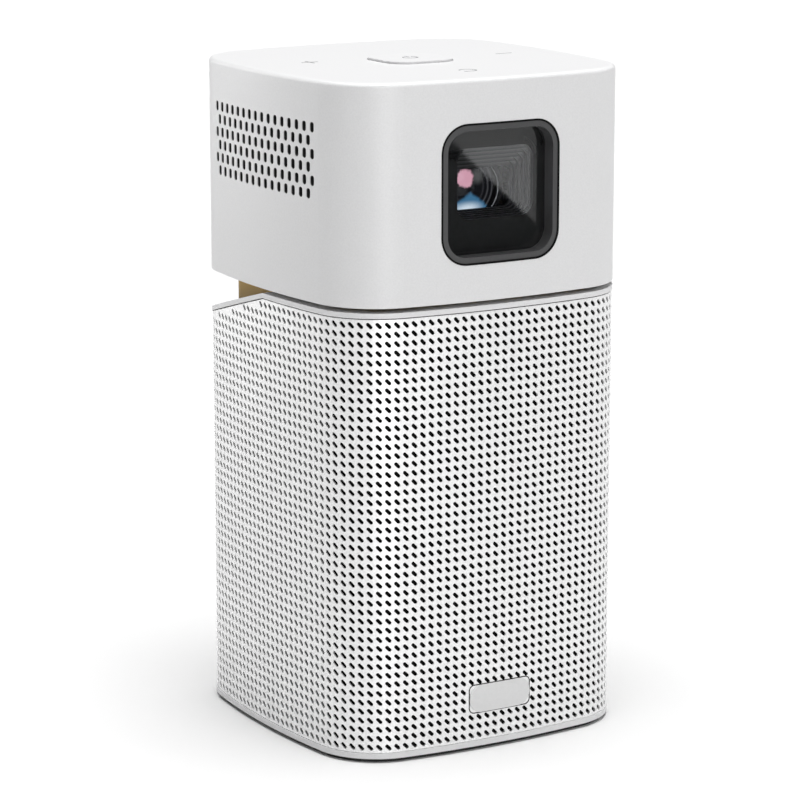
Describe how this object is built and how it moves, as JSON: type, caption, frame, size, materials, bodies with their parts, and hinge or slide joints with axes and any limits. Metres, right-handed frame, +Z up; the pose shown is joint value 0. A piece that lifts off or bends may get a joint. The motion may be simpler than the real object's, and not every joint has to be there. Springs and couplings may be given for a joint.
{
  "type": "home projector",
  "caption": "Portable home projector: a square head with a glazed lens window and touch top, tilting on a gold neck above a perforated speaker base.",
  "frame": {"origin": "centre of the underside, on the surface the projector stands on", "axes": "+Z up the projector's height; the lens faces -Y; +X is to the right when looking along +Y at the lens"},
  "size_m": [0.08, 0.0801, 0.1555],
  "materials": {
    "shell_white": "satin white paint with a fine speckle",
    "trim_white": "satin white paint",
    "button_white": "satin white paint",
    "grille_white": "satin white powder coat",
    "badge_white": "satin",
    "bezel_grey": "satin dark grey",
    "window_glass": "polished, coated",
    "baffle_black": "matte black",
    "barrel_black": "black anodised",
    "lens_glass": "polished, coated",
    "neck_gold": "satin mustard gold",
    "cloth_black": "fine acoustic cloth",
    "foot_rubber": "matte",
    "hinge_steel": "brushed",
    "mesh_steel": "black mesh",
    "deck_aluminium": "bead blasted",
    "insert_brass": "machined",
    "board_green": "solder mask",
    "chip_mirror": "polished",
    "led_red": "moulded",
    "led_green": "moulded",
    "led_blue": "moulded",
    "inner_black": "moulded black",
    "panel_black": "fine texture",
    "gear_white": "moulded",
    "washer_polymer": "low-friction polymer",
    "surround_rubber": "satin",
    "magnet_ferrite": "ferrite",
    "cell_wrap": "shrink wrap",
    "socket_steel": "plated",
    "cone_paper": "pressed pulp",
    "cable_black": "matte"
  },
  "bodies": {
    "base": {"top_trim": "trim_white", "neck_collar": "neck_gold", "speaker_grille": "grille_white", "grille_cloth": "cloth_black", "cabinet_core": "inner_black", "bottom_cover": "trim_white", "rubber_foot": "foot_rubber", "tripod_insert": "insert_brass", "hinge_frame": "hinge_steel", "hinge_pins": "hinge_steel", "friction_washers": "washer_polymer", "driver_surround": "surround_rubber", "driver_basket": "hinge_steel", "driver_magnet": "magnet_ferrite", "radiator_surround": "surround_rubber", "battery_cells": "cell_wrap", "battery_tray": "inner_black", "io_board": "board_green", "io_panel": "panel_black", "hdmi_port": "socket_steel", "usb_port": "socket_steel", "dc_jack": "inner_black", "badge": "badge_white", "base_screws": "hinge_steel", "head_cable": "cable_black"},
    "head": {"head_shell": "shell_white", "head_bottom_ring": "shell_white", "lens_bezel": "bezel_grey", "lens_window": "window_glass", "lens_baffle": "baffle_black", "head_chassis": "deck_aluminium", "hinge_arms": "hinge_steel", "head_screws": "hinge_steel", "vent_meshes": "mesh_steel", "lens_mount": "baffle_black", "engine_housing": "deck_aluminium", "engine_cover": "deck_aluminium", "light_prism": "lens_glass", "imaging_chip": "chip_mirror", "chip_board": "board_green", "condenser_lenses": "lens_glass", "colour_filters": "lens_glass", "red_led": "led_red", "green_led": "led_green", "blue_led": "led_blue", "heat_sink": "deck_aluminium", "fan_frame": "inner_black", "main_board": "board_green", "key_board": "board_green", "button_switch": "inner_black", "focus_motor": "hinge_steel"},
    "lens": {"lens_barrel": "barrel_black", "front_lens": "lens_glass", "rear_lens": "lens_glass"},
    "focus_ring": {"focus_ring": "gear_white"},
    "focus_pinion": {"focus_pinion": "gear_white"},
    "fan": {"fan_impeller": "inner_black"},
    "power_button": {"power_button": "button_white"},
    "driver_cone": {"driver_cone": "cone_paper"},
    "radiator_plate": {"radiator_plate": "cone_paper"}
  },
  "joints": [
    {"name": "head_tilt", "type": "hinge", "parent": "base", "child": "head", "pos_m": [0, -0.001, 0.10455], "axis": [-1, 0, 0], "range_deg": [0, 15], "deforming": ["head_cable"]},
    {"name": "focus_turn", "type": "hinge", "parent": "head", "child": "focus_ring", "pos_m": [0.0007, 0, 0.1282], "axis": [0, -1, 0], "range_deg": [-62, 62]},
    {"name": "pinion_turn", "type": "hinge", "parent": "head", "child": "focus_pinion", "pos_m": [-0.0177, 0, 0.1282], "axis": [0, -1, 0], "range_deg": [-142, 142]},
    {"name": "lens_slide", "type": "slide", "parent": "head", "child": "lens", "axis": [0, -1, 0], "range_m": [-0.00063, 0.00063]},
    {"name": "fan_spin", "type": "hinge", "parent": "head", "child": "fan", "pos_m": [-0.0319, 0, 0.136], "axis": [1, 0, 0], "continuous": true},
    {"name": "button_press", "type": "slide", "parent": "head", "child": "power_button", "axis": [0, 0, -1], "range_m": [0, 0.0005], "stiffness_N_per_m": 300, "springref_m": -0.001},
    {"name": "cone_move", "type": "slide", "parent": "base", "child": "driver_cone", "axis": [0, -1, 0], "range_m": [-0.001, 0.001], "stiffness_N_per_m": 400, "deforming": ["driver_surround"]},
    {"name": "radiator_move", "type": "slide", "parent": "base", "child": "radiator_plate", "axis": [1, 0, 0], "range_m": [-0.001, 0.001], "stiffness_N_per_m": 400, "deforming": ["radiator_surround"]}
  ],
  "couplings": [
    {"joint": "focus_turn", "follows": "lens_slide", "rad_per_m": 1666.7},
    {"joint": "pinion_turn", "follows": "lens_slide", "rad_per_m": -3809.5}
  ]
}
